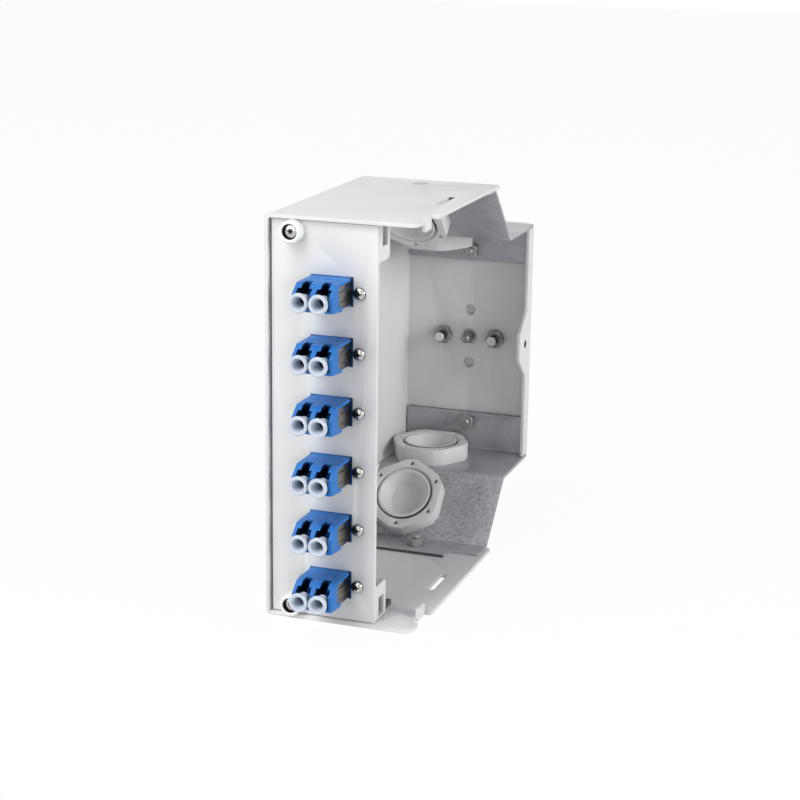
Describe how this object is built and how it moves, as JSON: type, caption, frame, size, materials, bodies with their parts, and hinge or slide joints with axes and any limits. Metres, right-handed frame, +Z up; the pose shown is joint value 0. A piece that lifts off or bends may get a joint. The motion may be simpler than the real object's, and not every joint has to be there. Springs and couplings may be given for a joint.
{
  "type": "fibre distribution box",
  "caption": "Slim sheet-steel fibre distribution box for a DIN rail, side cover off, with blue duplex adapters in its front panel and blanked cable entries at the back.",
  "frame": {"origin": "middle of the bottom plate's underside, by its full width and its depth", "axes": "+X to the open side at the right of the front panel, -Y to the front, where the adapters point, +Z up"},
  "size_m": [0.05, 0.1587, 0.13],
  "materials": {
    "case_paint": "light grey powder coat, fine texture, satin",
    "zinc_sheet": "galvanised sheet, fine spangle, half matt",
    "gland_plastic": "light grey nylon, satin",
    "seal_rubber": "black rubber, matt",
    "adapter_blue": "blue plastic, satin gloss",
    "clip_steel": "stainless spring strip, bright",
    "cap_clear": "translucent soft plastic, faint lilac tint",
    "sleeve_ceramic": "white zirconia",
    "bright_nickel": "nickel plate, bright",
    "zinc_plate": "zinc plate, dull",
    "collar_white": "white nylon, glossy"
  },
  "bodies": {
    "case": {"housing": "case_paint", "front_panel": "case_paint", "upper_screw_bracket": "case_paint", "lower_screw_bracket": "case_paint", "upper_gland_bracket": "zinc_sheet", "lower_gland_bracket": "zinc_sheet", "ferrule_sleeves": "sleeve_ceramic", "adapter_screws": "bright_nickel", "adapter_nuts": "bright_nickel", "screw_collars": "collar_white", "captive_screws": "bright_nickel", "bracket_studs": "zinc_plate", "bracket_nuts": "zinc_plate", "clip_base": "zinc_plate", "clip_spring": "clip_steel", "clip_rivets": "zinc_plate", "clip_pin": "zinc_plate", "clip_bolts": "zinc_plate", "clip_nuts": "zinc_plate", "upper_facet_plug": "gland_plastic", "upper_facet_locknut": "gland_plastic", "upper_facet_seal": "seal_rubber", "upper_ledge_plug": "gland_plastic", "upper_ledge_locknut": "gland_plastic", "upper_ledge_seal": "seal_rubber", "lower_facet_plug": "gland_plastic", "lower_facet_locknut": "gland_plastic", "lower_facet_seal": "seal_rubber", "lower_ledge_plug": "gland_plastic", "lower_ledge_locknut": "gland_plastic", "lower_ledge_seal": "seal_rubber", "lc_adapter_1": "adapter_blue", "adapter_clip_1": "clip_steel", "lc_adapter_2": "adapter_blue", "adapter_clip_2": "clip_steel", "lc_adapter_3": "adapter_blue", "adapter_clip_3": "clip_steel", "lc_adapter_4": "adapter_blue", "adapter_clip_4": "clip_steel", "lc_adapter_5": "adapter_blue", "adapter_clip_5": "clip_steel", "lc_adapter_6": "adapter_blue", "adapter_clip_6": "clip_steel"},
    "dust_cap_1_left": {"dust_cap_1_left": "cap_clear"},
    "dust_cap_1_right": {"dust_cap_1_right": "cap_clear"},
    "dust_cap_2_left": {"dust_cap_2_left": "cap_clear"},
    "dust_cap_2_right": {"dust_cap_2_right": "cap_clear"},
    "dust_cap_3_left": {"dust_cap_3_left": "cap_clear"},
    "dust_cap_3_right": {"dust_cap_3_right": "cap_clear"},
    "dust_cap_4_left": {"dust_cap_4_left": "cap_clear"},
    "dust_cap_4_right": {"dust_cap_4_right": "cap_clear"},
    "dust_cap_5_left": {"dust_cap_5_left": "cap_clear"},
    "dust_cap_5_right": {"dust_cap_5_right": "cap_clear"},
    "dust_cap_6_left": {"dust_cap_6_left": "cap_clear"},
    "dust_cap_6_right": {"dust_cap_6_right": "cap_clear"},
    "rail_latch": {"clip_latch": "zinc_plate"}
  },
  "joints": [
    {"name": "cap_1_left_pull", "type": "slide", "parent": "case", "child": "dust_cap_1_left", "axis": [0, -1, 0], "range_m": [0, 0.014]},
    {"name": "cap_1_right_pull", "type": "slide", "parent": "case", "child": "dust_cap_1_right", "axis": [0, -1, 0], "range_m": [0, 0.014]},
    {"name": "cap_2_left_pull", "type": "slide", "parent": "case", "child": "dust_cap_2_left", "axis": [0, -1, 0], "range_m": [0, 0.014]},
    {"name": "cap_2_right_pull", "type": "slide", "parent": "case", "child": "dust_cap_2_right", "axis": [0, -1, 0], "range_m": [0, 0.014]},
    {"name": "cap_3_left_pull", "type": "slide", "parent": "case", "child": "dust_cap_3_left", "axis": [0, -1, 0], "range_m": [0, 0.014]},
    {"name": "cap_3_right_pull", "type": "slide", "parent": "case", "child": "dust_cap_3_right", "axis": [0, -1, 0], "range_m": [0, 0.014]},
    {"name": "cap_4_left_pull", "type": "slide", "parent": "case", "child": "dust_cap_4_left", "axis": [0, -1, 0], "range_m": [0, 0.014]},
    {"name": "cap_4_right_pull", "type": "slide", "parent": "case", "child": "dust_cap_4_right", "axis": [0, -1, 0], "range_m": [0, 0.014]},
    {"name": "cap_5_left_pull", "type": "slide", "parent": "case", "child": "dust_cap_5_left", "axis": [0, -1, 0], "range_m": [0, 0.014]},
    {"name": "cap_5_right_pull", "type": "slide", "parent": "case", "child": "dust_cap_5_right", "axis": [0, -1, 0], "range_m": [0, 0.014]},
    {"name": "cap_6_left_pull", "type": "slide", "parent": "case", "child": "dust_cap_6_left", "axis": [0, -1, 0], "range_m": [0, 0.014]},
    {"name": "cap_6_right_pull", "type": "slide", "parent": "case", "child": "dust_cap_6_right", "axis": [0, -1, 0], "range_m": [0, 0.014]},
    {"name": "rail_latch_slide", "type": "slide", "parent": "case", "child": "rail_latch", "axis": [0, 0, -1], "range_m": [0, 0.004], "stiffness_N_per_m": 1500, "springref_m": -0.003, "deforming": ["clip_spring"]}
  ]
}
